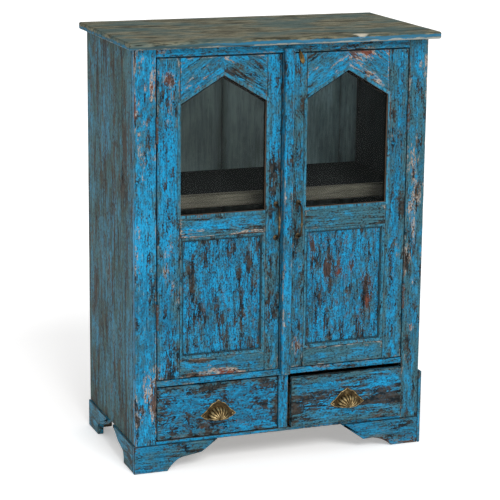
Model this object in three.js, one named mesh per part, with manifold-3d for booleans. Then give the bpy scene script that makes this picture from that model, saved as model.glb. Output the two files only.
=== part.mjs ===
// China cabinet: two glazed doors with pointed arches over two drawers, on bracket feet.
// Millimetres, +Z up. The front faces -Y. The origin is at the centre of the base.
// Inside the case group X runs from the case's left edge, Y from its front face and Z from the floor.
import * as THREE from 'three';
import { mergeVertices } from 'three/addons/utils/BufferGeometryUtils.js';
import Module from 'manifold-3d';

const wasm = await Module();
wasm.setup();

// ---- driving dimensions ----
const caseWidth = 855;
const caseDepth = 455;
const caseTop = 1180;
const gap = 0.3;                  // kept between pieces that touch
const boardThickness = 18;        // side boards and bracket feet
const frameThickness = 22;        // stiles and rails of the case front
const topThickness = 20;
const topOverhang = { left: 21, right: 28, front: 25, back: 10 };
const topJointY = 232;            // where the two top boards meet
const footHeight = 78;

const leftStileWidth = 61;
const rightStileX = 799;
const postLeft = 422;
const postRight = 450;
const mullion = { proud: 20, bottom: 249, top: 1169, nose: 9 };
const drawerFloorTop = 88;
const midRail = { bottom: 245, top: 262 };
const topRailBottom = 1156;
const backThickness = 12;
const backGrooves = { x: [210, 405, 595, 782], width: 3, depth: 2 };
const partitionThickness = 12;
const shelf = { top: 753, thickness: 20, lip: 38, lipDepth: 20, front: 110 };
const cabinetFloorBottom = 247;

const doorGap = 3;
const door = { bottom: 264.5, top: 1153, thickness: 24, springing: 1029, apex: 1103 };
const lockRail = { bottom: 661, top: 722 };
const bottomRailTop = 317;
const groove = { depth: 10, front: 9.7, back: 18.3 };
const rabbet = { depth: 8, front: 10 };
const panelThickness = 8;
const glassThickness = 3;
const glassPlay = 0.6;            // between the pane and its rabbet, all round
const panelPlay = 1;              // between the panel and the bottom of its groove
const leftDoorStiles = { outer: 64, inner: 42 };
const rightDoorStiles = { outer: 58, inner: 40 };

const hinge = { radius: 3.7, pin: 1.5, bore: 1.8, forward: 4, leaf: 1, height: 72, depth: 20, play: 0.05 };
const hingeHeights = { upper: 962, lower: 445 };
const pull = { low: 644, high: 738, reach: 31, radius: 3.2, leftInset: 13, rightInset: 19 };
const rose = { radius: 8, thickness: 2.5 };
const button = { x: 476, z: 1138, above: 27, below: 16, width: 15, thickness: 3, slant: 17 };

const drawer = {
  thickness: 20, side: 12, sideInset: 2.5, depth: 410, sideTop: 205, backTop: 195, floor: 95,
  floorThickness: 6,
};
const leftDrawerFront = { x0: 63.5, x1: 419.5, z0: 90, z1: 241 };
const rightDrawerFront = { x0: 457, x1: 796.5, z0: 90, z1: 236 };
const rightDrawerOut = 13;        // the right drawer rests a little open
const cup = { width: 66, height: 42, reach: 26, wall: 2, plate: 2, span: 105, z: 140 };

// ---- materials ----
function finish(color, roughness, metalness = 0) {
  return new THREE.MeshStandardMaterial({ color, roughness, metalness });
}
const bluePaint = finish(0x2a7fb0, 0.7);
const wornTop = finish(0x6b6f5c, 0.75);
const bareWood = finish(0x5a4a3c, 0.85);
const drawerWood = finish(0x6e5a45, 0.85);
const brass = finish(0x8a6f3a, 0.4, 1);
const iron = finish(0x4a3f38, 0.6, 1);
const glass = finish(0x9fb0ac, 0.1);
glass.transparent = true;
glass.opacity = 0.3;

// ---- solids ----
function toSolid(geometry) {
  const bare = geometry.clone();
  bare.deleteAttribute('normal');
  bare.deleteAttribute('uv');
  const merged = mergeVertices(bare, 1e-4);
  return new wasm.Manifold(new wasm.Mesh({
    numProp: 3,
    vertProperties: new Float32Array(merged.attributes.position.array),
    triVerts: new Uint32Array(merged.index.array),
  }));
}

function toGeometry(solid) {
  const mesh = solid.getMesh();
  const geometry = new THREE.BufferGeometry();
  geometry.setAttribute('position', new THREE.BufferAttribute(mesh.vertProperties, 3));
  geometry.setIndex(new THREE.BufferAttribute(mesh.triVerts, 1));
  geometry.computeVertexNormals();
  return geometry;
}

function cut(geometry, ...tools) {
  return toGeometry(tools.reduce((solid, tool) => solid.subtract(toSolid(tool)), toSolid(geometry)));
}

function join(geometry, ...others) {
  return toGeometry(others.reduce((solid, other) => solid.add(toSolid(other)), toSolid(geometry)));
}

function box(x0, x1, y0, y1, z0, z1) {
  const geometry = new THREE.BoxGeometry(x1 - x0, y1 - y0, z1 - z0);
  return geometry.translate((x0 + x1) / 2, (y0 + y1) / 2, (z0 + z1) / 2);
}

function extrude(points, depth) {
  const shape = new THREE.Shape(points.map(([a, b]) => new THREE.Vector2(a, b)));
  return new THREE.ExtrudeGeometry(shape, { depth, bevelEnabled: false });
}

// An outline in (x, z), pushed along Y from y0 to y1.
function alongY(points, y0, y1) {
  return extrude(points, y1 - y0).rotateX(Math.PI / 2).translate(0, y1, 0);
}

// An outline in (y, z), pushed along X from x0 to x1.
function alongX(points, x0, x1) {
  const turn = new THREE.Matrix4().makeBasis(
    new THREE.Vector3(0, 1, 0), new THREE.Vector3(0, 0, 1), new THREE.Vector3(1, 0, 0));
  return extrude(points, x1 - x0).applyMatrix4(turn).translate(x0, 0, 0);
}

// An outline in (x, y), pushed along Z from z0 to z1.
function alongZ(points, z0, z1) {
  return extrude(points, z1 - z0).translate(0, 0, z0);
}

// A rod on the Z axis.
function rod(radius, z0, z1, sides = 16) {
  const geometry = new THREE.CylinderGeometry(radius, radius, z1 - z0, sides);
  return geometry.rotateX(Math.PI / 2).translate(0, 0, (z0 + z1) / 2);
}

// A round disc on an axis along Y, its back at y1.
function disc(radius, y0, y1, x, z, sides = 16) {
  return new THREE.CylinderGeometry(radius, radius, y1 - y0, sides).translate(x, (y0 + y1) / 2, z);
}

function arc(cx, cy, radius, from, to, steps) {
  return Array.from({ length: steps + 1 }, (_, i) => {
    const angle = THREE.MathUtils.degToRad(from + ((to - from) * i) / steps);
    return [cx + radius * Math.cos(angle), cy + radius * Math.sin(angle)];
  });
}

const cabinet = new THREE.Group();
const frontmost = -(rightDrawerOut + cup.reach);
const rearmost = caseDepth + topOverhang.back;
const leftmost = -topOverhang.left;
const rightmost = caseWidth + topOverhang.right;
const body = new THREE.Group();
body.position.set(-(leftmost + rightmost) / 2, -(frontmost + rearmost) / 2, 0);
cabinet.add(body);

function place(name, geometry, material, parent = body) {
  const mesh = new THREE.Mesh(geometry, material);
  mesh.name = name;
  parent.add(mesh);
  return mesh;
}

// ---- top: two boards edge to edge ----
function makeTop() {
  const z1 = caseTop + topThickness;
  const [x0, x1] = [leftmost, rightmost];
  place('top_board_front', box(x0, x1, -topOverhang.front, topJointY, caseTop, z1), wornTop);
  place('top_board_rear', box(x0, x1, topJointY + gap, rearmost, caseTop, z1), wornTop);
}

// ---- case: side boards, front frame, floors, partition and back ----
function makeCase() {
  const under = caseTop - gap;
  const behindFrame = frameThickness + gap;
  const foot = footHeight + gap;
  const sideBack = caseDepth;
  const innerLeft = boardThickness + gap;
  const innerRight = caseWidth - boardThickness - gap;
  const backFront = caseDepth - backThickness;
  const betweenStiles = [leftStileWidth + gap, rightStileX - gap];

  place('side_panel_left', box(0, boardThickness, behindFrame, sideBack, foot, under), bluePaint);
  place('side_panel_right',
    box(caseWidth - boardThickness, caseWidth, behindFrame, sideBack, foot, under), bluePaint);
  place('front_stile_left', box(0, leftStileWidth, 0, frameThickness, foot, under), bluePaint);
  place('front_stile_right', box(rightStileX, caseWidth, 0, frameThickness, foot, under), bluePaint);
  place('top_rail', box(...betweenStiles, 0, frameThickness, topRailBottom, under), bluePaint);
  place('mid_rail', box(...betweenStiles, 0, frameThickness, midRail.bottom, midRail.top), bluePaint);
  place('drawer_post', box(postLeft, postRight, 0, frameThickness,
    drawerFloorTop + gap, midRail.bottom - gap), bluePaint);

  // The bottom board runs the full depth and its front edge shows between the stiles.
  const bottomOutline = [
    [betweenStiles[0], 0], [betweenStiles[1], 0], [betweenStiles[1], behindFrame],
    [innerRight, behindFrame], [innerRight, backFront - gap], [innerLeft, backFront - gap],
    [innerLeft, behindFrame], [betweenStiles[0], behindFrame],
  ];
  place('bottom_board', alongZ(bottomOutline, foot, drawerFloorTop), bluePaint);
  place('cabinet_floor',
    box(innerLeft, innerRight, behindFrame, backFront - gap, cabinetFloorBottom, midRail.top), bareWood);
  const postMiddle = (postLeft + postRight) / 2;
  place('drawer_partition', box(postMiddle - partitionThickness / 2, postMiddle + partitionThickness / 2,
    behindFrame, backFront - gap, drawerFloorTop + gap, cabinetFloorBottom - gap), bareWood);

  // The shelf behind the glass has a deeper lip along its front edge.
  const shelfOutline = [
    [shelf.front, shelf.top - shelf.lip], [shelf.front + shelf.lipDepth, shelf.top - shelf.lip],
    [shelf.front + shelf.lipDepth, shelf.top - shelf.thickness],
    [backFront - gap, shelf.top - shelf.thickness], [backFront - gap, shelf.top],
    [shelf.front, shelf.top],
  ];
  place('display_shelf', alongX(shelfOutline, innerLeft, innerRight), bareWood);

  // The back is two panels of upright planks, with a groove at each joint between planks.
  const backJoint = caseWidth / 2;
  const { width, depth } = backGrooves;
  const grooves = backGrooves.x.map((x) => box(x - width / 2, x + width / 2,
    backFront - gap, backFront + depth, 0, caseTop));
  const backLeft = box(innerLeft, backJoint, backFront, caseDepth, foot, under);
  const backRight = box(backJoint + gap, innerRight, backFront, caseDepth, foot, under);
  place('back_panel_left', cut(backLeft, grooves[0], grooves[1]), bareWood);
  place('back_panel_right', cut(backRight, grooves[2], grooves[3]), bareWood);
}

// ---- centre mullion: a round-nosed strip between the doors, over the top and middle rails ----
function makeMullion() {
  const nose = arc(postLeft + mullion.nose, -mullion.proud + mullion.nose, mullion.nose, 180, 270, 4);
  const otherNose = arc(postRight - mullion.nose, -mullion.proud + mullion.nose, mullion.nose, 270, 360, 4);
  const outline = [[postLeft, frameThickness], ...nose, ...otherNose, [postRight, frameThickness]];
  const strip = alongZ(outline, mullion.bottom, mullion.top);
  const past = 5;
  const railSlots = [
    box(postLeft - past, postRight + past, -gap, frameThickness + past, 0, midRail.top + gap),
    box(postLeft - past, postRight + past, -gap, frameThickness + past, topRailBottom - gap, caseTop),
  ];
  place('center_mullion', cut(strip, ...railSlots), bluePaint);
}

// ---- bracket feet ----
// The sawn outline of a bracket, from the outer end of the foot to the tip under the case.
// toe: width of the foot on the floor; knee: what the curve off the toe bends towards; cove: where
// that curve ends; cusp: the point after the flat; tip: the bracket's reach under the case.
function bracketOutline({ toe, knee, cove, cusp, tip }) {
  const curve = new THREE.QuadraticBezierCurve(
    ...[[toe, 0], knee, cove].map((point) => new THREE.Vector2(...point)));
  const hollow = curve.getPoints(4).map((point) => point.toArray());
  return [[0, 0], ...hollow, cusp, [tip, footHeight], [0, footHeight]];
}

function makeBrackets() {
  const proud = 4;
  const sideProud = 5;
  const frontBack = boardThickness - proud;
  const fromLeft = bracketOutline({ toe: 97, knee: [119, 32], cove: [141, 36], cusp: [198, 45], tip: 244 });
  const leftFront = fromLeft.map(([x, z]) => [x - sideProud, z]);
  place('bracket_front_left', alongY(leftFront, -proud, frontBack), bluePaint);
  const fromRight = bracketOutline({ toe: 82, knee: [106, 22], cove: [138, 28], cusp: [170, 27], tip: 240 });
  const rightFront = fromRight.map(([x, z]) => [caseWidth - x, z]).reverse();
  place('bracket_front_right', alongY(rightFront, -proud, frontBack), bluePaint);

  const side = bracketOutline({ toe: 105, knee: [101, 34], cove: [122, 37], cusp: [160, 47], tip: 214 });
  const frontSide = side.map(([y, z]) => [Math.max(y - proud, frontBack + gap), z]);
  const rearSide = bracketOutline({ toe: 95, knee: [91, 34], cove: [112, 37], cusp: [150, 47], tip: 202 })
    .map(([y, z]) => [caseDepth - y, z]).reverse();
  const leftX = [-sideProud, boardThickness - sideProud];
  const rightX = [caseWidth - leftX[1], caseWidth - leftX[0]];
  place('bracket_side_left_front', alongX(frontSide, ...leftX), bluePaint);
  place('bracket_side_left_rear', alongX(rearSide, ...leftX), bluePaint);
  place('bracket_side_right_rear', alongX(rearSide, ...rightX), bluePaint);

  // The right front foot has a taller outer board, its upper corner rounded towards the back.
  const tallTop = 215;
  const tallWidth = 92;
  const tallProud = 9;
  const cornerRadius = 40;
  const outer = [caseWidth + gap, caseWidth + tallProud];
  const corner = arc(tallWidth - cornerRadius, tallTop - cornerRadius, cornerRadius, 0, 90, 6);
  const tall = [
    [-proud, 0], ...side.slice(1, -1).map(([y, z]) => [y - proud, z]),
    [tallWidth, footHeight], ...corner, [-proud, tallTop],
  ];
  place('bracket_side_right_front',
    join(alongX(tall, ...outer), alongX(frontSide, rightX[0], outer[1])), bluePaint);
}

// ---- hinges: a case leaf with two knuckles and the pin, and a door leaf with the middle knuckle ----
function hingeLeaf(side, outward) {
  const { radius, leaf, height, depth, forward } = hinge;
  const third = height / 3;
  const pinSides = 12;
  const near = gap / 2 + hinge.play;
  const plate = (z0, z1, y0) => {
    const xs = [side * near, side * (near + leaf)].sort((a, b) => a - b);
    return box(...xs, y0, forward + depth, z0, z1);
  };
  if (outward) {
    const knuckle = rod(radius, third + gap, 2 * third - gap);
    const whole = join(plate(0, height, radius + gap), plate(third + gap, 2 * third - gap, 0), knuckle);
    return cut(whole, rod(hinge.bore, -gap, height + gap, pinSides));
  }
  return join(plate(0, height, radius + gap), plate(0, third, 0), plate(2 * third, height, 0),
    rod(radius, 0, third), rod(radius, 2 * third, height), rod(hinge.pin, 0, height, pinSides));
}

function makeHinges(doorSide, axisX, towardsCase) {
  for (const [level, z] of Object.entries(hingeHeights)) {
    const middle = z - hinge.height / 2;
    const parts = [[`${doorSide}_hinge_${level}_case_leaf`, towardsCase, false],
      [`${doorSide}_hinge_${level}_door_leaf`, -towardsCase, true]];
    for (const [name, side, outward] of parts) {
      place(name, hingeLeaf(side, outward), iron).position.set(axisX, -hinge.forward, middle);
    }
  }
}

// ---- door pulls: a bow on two round roses ----
function makePull(name, x) {
  const { low, high, reach, radius } = pull;
  const half = (high - low) / 2;
  const grip = reach - radius;
  const neck = 14;
  const bend = { out: 24, at: half * 0.86 };
  const path = new THREE.CatmullRomCurve3([
    [0, -half], [neck, -half], [bend.out, -bend.at], [grip, -half / 2], [grip, 0],
    [grip, half / 2], [bend.out, bend.at], [neck, half], [0, half],
  ].map(([out, z]) => new THREE.Vector3(0, -out, z)));
  const section = new THREE.Shape(arc(0, 0, radius, 0, 315, 7).map((p) => new THREE.Vector2(...p)));
  const bow = new THREE.ExtrudeGeometry(section, { steps: 28, bevelEnabled: false, extrudePath: path });
  const roses = [-half, half].map((z) => disc(rose.radius, -rose.thickness, 0, 0, z));
  const clear = 0.5;                // keeps the bow's ends inside the roses
  place(name, join(bow.translate(0, -clear, 0), ...roses), brass).position.set(x, -gap, (low + high) / 2);
}

// ---- doors: stiles, arched top rail, lock rail, bottom rail, panel and glass ----
function makeDoor(side, x0, x1, leftWidth, rightWidth) {
  const { bottom, top, thickness, springing, apex } = door;
  const left = x0 + leftWidth;
  const right = x1 - rightWidth;
  const middle = (left + right) / 2;
  const leftStile = side === 'left' ? 'hinge_stile' : 'meeting_stile';
  const rightStile = side === 'left' ? 'meeting_stile' : 'hinge_stile';
  const panelSlot = box(left - groove.depth, right + groove.depth, groove.front, groove.back,
    bottomRailTop - groove.depth, lockRail.bottom + groove.depth);
  const rise = { side: 0.5, apex: 1.2 };   // how far the arch's corners move up as it grows by 1
  const arch = (grow) => [
    [left - grow, lockRail.top - grow], [right + grow, lockRail.top - grow],
    [right + grow, springing + grow * rise.side], [middle, apex + grow * rise.apex],
    [left - grow, springing + grow * rise.side],
  ];
  const glassSlot = alongY(arch(rabbet.depth), rabbet.front, thickness + gap);

  place(`${side}_door_${leftStile}`, cut(box(x0, left, 0, thickness, bottom, top), panelSlot, glassSlot),
    bluePaint);
  place(`${side}_door_${rightStile}`, cut(box(right, x1, 0, thickness, bottom, top), panelSlot, glassSlot),
    bluePaint);
  const [railLeft, railRight] = [left + gap, right - gap];
  const archedRail = [
    [railLeft, springing], [middle, apex], [railRight, springing], [railRight, top], [railLeft, top],
  ];
  place(`${side}_door_arched_rail`, cut(alongY(archedRail, 0, thickness), glassSlot), bluePaint);
  place(`${side}_door_lock_rail`,
    cut(box(railLeft, railRight, 0, thickness, lockRail.bottom, lockRail.top), panelSlot, glassSlot),
    bluePaint);
  place(`${side}_door_bottom_rail`,
    cut(box(railLeft, railRight, 0, thickness, bottom, bottomRailTop), panelSlot), bluePaint);

  const tongue = groove.depth - panelPlay;
  place(`${side}_door_panel`, box(left - tongue, right + tongue, groove.front + gap,
    groove.front + gap + panelThickness, bottomRailTop - tongue, lockRail.bottom + tongue), bluePaint);
  place(`${side}_door_glass`,
    alongY(arch(rabbet.depth - glassPlay), rabbet.front + gap, rabbet.front + gap + glassThickness), glass);
}

// ---- turn button: a brass leaf screwed to the right door, lapping the top rail ----
function makeTurnButton() {
  const half = button.width / 2;
  const belly = { x: half * 1.7, z: -2 };
  const shoulder = { x: half * 0.75, z: button.above * 0.55 };
  const taper = { x: half * 0.35, z: button.above * 0.85 };
  const leaf = new THREE.Shape();
  leaf.moveTo(0, -button.below);
  leaf.quadraticCurveTo(belly.x, belly.z, shoulder.x, shoulder.z);
  leaf.quadraticCurveTo(taper.x, taper.z, 0, button.above);
  leaf.quadraticCurveTo(-taper.x, taper.z, -shoulder.x, shoulder.z);
  leaf.quadraticCurveTo(-belly.x, belly.z, 0, -button.below);
  const plate = new THREE.ExtrudeGeometry(leaf,
    { depth: button.thickness, bevelEnabled: false, curveSegments: 5 });
  plate.rotateX(Math.PI / 2);
  const mesh = place('turn_button', plate, brass);
  mesh.position.set(button.x, -gap, button.z);
  mesh.rotation.y = THREE.MathUtils.degToRad(-button.slant);
}

// ---- drawers ----
function makeDrawer(side, front, out) {
  const group = new THREE.Group();
  group.position.y = -out;
  body.add(group);
  const { thickness, side: wall, sideInset, depth, sideTop, backTop, floor, floorThickness } = drawer;
  const add = (name, geometry, material) => place(`${side}_drawer_${name}`, geometry, material, group);
  const [left, right] = [front.x0 + sideInset, front.x1 - sideInset];
  const bottom = drawerFloorTop + gap;
  add('front', box(front.x0, front.x1, 0, thickness, front.z0, front.z1), bluePaint);
  add('left_side', box(left, left + wall, thickness + gap, depth, bottom, sideTop), drawerWood);
  add('right_side', box(right - wall, right, thickness + gap, depth, bottom, sideTop), drawerWood);
  const inside = [left + wall + gap, right - wall - gap];
  add('back', box(...inside, depth - wall, depth, bottom, backTop), drawerWood);
  add('floor', box(...inside, thickness + gap, depth - wall - gap, floor, floor + floorThickness),
    drawerWood);

  // The cup pull is half a dome, open below, on a plate with a pointed ear at each end.
  const { width, height, reach, wall: skin, plate, span, z } = cup;
  const dome = (shrink) => new THREE.SphereGeometry(1, 20, 10)
    .scale(width / 2 - shrink, reach - shrink - gap, height - shrink);
  const shell = cut(cut(dome(0), dome(skin)), box(-span, span, 0, span, -span, span),
    box(-span, span, -span, span, -span, 0));
  const inner = width / 2 - skin;
  const mouth = arc(0, 0, 1, 165, 15, 6).map(([a, b]) => [a * inner, b * (height - skin)]);
  const mirrored = (points) => points.map(([x, up]) => [-x, up]).reverse();
  const ear = { tip: [span / 2, 2], foot: [width * 0.45, -4], heel: [inner, 4], side: [inner, 8] };
  const lower = [ear.side, ear.heel, ear.foot, ear.tip];
  const upper = [[width * 0.46, 24], [width * 0.28, height + 3]];
  const crown = [0, height + 12];
  const plateOutline = [
    ...mirrored(lower), ...mouth, ...lower, ...upper, crown, ...mirrored(upper),
  ];
  const backPlate = alongY(plateOutline, -plate, 0);
  const middle = (front.x0 + front.x1) / 2;
  place(`${side}_cup_pull`, join(shell, backPlate), brass, group).position.set(middle, -gap, z);
}

makeTop();
makeCase();
makeMullion();
makeBrackets();
const leftDoorX = [leftStileWidth + doorGap, postLeft - doorGap];
const rightDoorX = [postRight + doorGap, rightStileX - doorGap];
makeHinges('left', leftStileWidth + doorGap / 2, -1);
makeHinges('right', rightStileX - doorGap / 2, 1);
makeDoor('left', ...leftDoorX, leftDoorStiles.outer, leftDoorStiles.inner);
makeDoor('right', ...rightDoorX, rightDoorStiles.inner, rightDoorStiles.outer);
makePull('left_door_pull', leftDoorX[1] - pull.leftInset);
makePull('right_door_pull', rightDoorX[0] + pull.rightInset);
makeTurnButton();
makeDrawer('left', leftDrawerFront, 0);
makeDrawer('right', rightDrawerFront, rightDrawerOut);

export default cabinet;
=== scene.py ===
# China cabinet of painted wood: two glazed doors with pointed arches over two drawers, on bracket feet.
# Metres, +Z up, the front faces -Y. Each section makes one piece or a group of like pieces, in the order
# in which the cabinet is put together.
import math

import bmesh
import bpy
import numpy as np
from mathutils import Matrix, Vector


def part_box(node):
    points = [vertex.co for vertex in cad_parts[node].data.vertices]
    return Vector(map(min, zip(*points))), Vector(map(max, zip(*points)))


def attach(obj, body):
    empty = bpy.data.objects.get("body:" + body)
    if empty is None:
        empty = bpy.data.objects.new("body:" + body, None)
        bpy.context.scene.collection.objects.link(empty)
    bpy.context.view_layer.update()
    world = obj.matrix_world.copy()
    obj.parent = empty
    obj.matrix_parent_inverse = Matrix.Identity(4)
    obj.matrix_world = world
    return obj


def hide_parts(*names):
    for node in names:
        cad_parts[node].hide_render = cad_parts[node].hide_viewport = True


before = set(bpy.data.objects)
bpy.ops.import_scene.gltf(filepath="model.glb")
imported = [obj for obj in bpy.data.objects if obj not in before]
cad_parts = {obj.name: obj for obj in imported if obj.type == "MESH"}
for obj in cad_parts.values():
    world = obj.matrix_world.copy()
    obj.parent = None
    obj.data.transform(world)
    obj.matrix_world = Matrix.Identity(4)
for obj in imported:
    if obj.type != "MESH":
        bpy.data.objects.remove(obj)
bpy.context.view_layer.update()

scene = bpy.context.scene

# ---------------------------------------------------------------------------------------------------------
# Side boards. Each is one wide plank, 18 mm thick, glued and nailed behind the front stile. Outside they
# carry two thin coats of blue, rubbed down along the grain; inside the wood was never painted.


def linear(r, g, b):
    """A colour given as 0 to 255 on a screen, as the shader wants it."""
    shares = [c / 255 for c in (r, g, b)]
    return (*(c / 12.92 if c <= 0.04045 else ((c + 0.055) / 1.055) ** 2.4 for c in shares), 1.0)


class Signal:
    """One socket of a finish's node tree. Sums with it add Math nodes."""

    def __init__(self, finish, socket):
        self.finish, self.socket = finish, socket

    def math(self, operation, *values, clamp=False):
        settings = {"operation": operation, "use_clamp": clamp}
        return self.finish.add("ShaderNodeMath", settings, dict(enumerate(values)))

    def __add__(self, other):
        return self.math("ADD", self, other)

    def __sub__(self, other):
        return self.math("SUBTRACT", self, other)

    def __rsub__(self, other):
        return self.math("SUBTRACT", other, self)

    def __mul__(self, other):
        return self.math("MULTIPLY", self, other)

    __radd__, __rmul__ = __add__, __mul__

    def step(self, low, high):
        """0 below low, 1 above high and a smooth ramp between them."""
        sockets = {"Value": self, "From Min": low, "From Max": high}
        return self.finish.add("ShaderNodeMapRange", {"interpolation_type": "SMOOTHSTEP"}, sockets)

    def limit(self):
        return self.math("ADD", self, 0.0, clamp=True)


class Finish:
    """A material built as nodes round one Principled shader."""

    def __init__(self, name):
        self.material = bpy.data.materials.new(name)
        self.material.use_nodes = True
        self.tree = self.material.node_tree
        self.shader = self.tree.nodes["Principled BSDF"]
        self.place = self.add("ShaderNodeTexCoord", {}, {}, "Object")

    def add(self, kind, settings, sockets, output=0):
        node = self.tree.nodes.new(kind)
        for key, value in settings.items():
            setattr(node, key, value)
        for key, value in sockets.items():
            self.feed(node.inputs[key], value)
        return Signal(self, node.outputs[output])

    def feed(self, socket, value):
        if isinstance(value, Signal):
            self.tree.links.new(value.socket, socket)
        else:
            socket.default_value = value

    def vector(self, operation, a, b):
        return self.add("ShaderNodeVectorMath", {"operation": operation}, {0: a, 1: b})

    def noise(self, scale, stretch=(1, 1, 1), detail=3.0, rough=0.55, shift=0.0):
        """Noise with scale blotches to the metre. A stretch below 1 draws it out along that axis."""
        where = self.vector("MULTIPLY", self.place, stretch)
        where = self.vector("ADD", where, (shift, shift * 1.7, shift * 2.3))
        sockets = {"Vector": where, "Scale": scale, "Detail": detail, "Roughness": rough}
        return self.add("ShaderNodeTexNoise", {}, sockets)

    def blend(self, factor, a, b):
        """Colour a where the factor is 0 and b where it is 1."""
        return self.add("ShaderNodeMix", {"data_type": "RGBA"}, {0: factor, 6: a, 7: b}, 2)

    def attribute(self, name):
        return self.add("ShaderNodeAttribute", {"attribute_name": name}, {}, "Fac")

    def axis(self, number):
        """One coordinate of the place: 0 is X, 1 is Y, 2 is Z."""
        return self.add("ShaderNodeSeparateXYZ", {}, {"Vector": self.place}, number)

    def distance(self, point, scale):
        """How far a place is from a point, with the offset first multiplied by a scale."""
        offset = self.vector("MULTIPLY", self.vector("SUBTRACT", self.place, point), scale)
        return self.add("ShaderNodeVectorMath", {"operation": "LENGTH"}, {0: offset}, 1)

    def finish(self, color, roughness, height=None, depth=0.0005, **constants):
        self.feed(self.shader.inputs["Base Color"], color)
        self.feed(self.shader.inputs["Roughness"], roughness)
        if height is not None:
            bump = self.add("ShaderNodeBump", {}, {"Height": height, "Distance": depth})
            self.feed(self.shader.inputs["Normal"], bump)
        for key, value in constants.items():
            self.shader.inputs[key.replace("_", " ")].default_value = value
        return self.material


def along(grain, amount):
    """The stretch for a pattern drawn out along the grain, which runs on axis x, y or z."""
    return tuple(amount if axis == grain else 1.0 for axis in "xyz")


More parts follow.
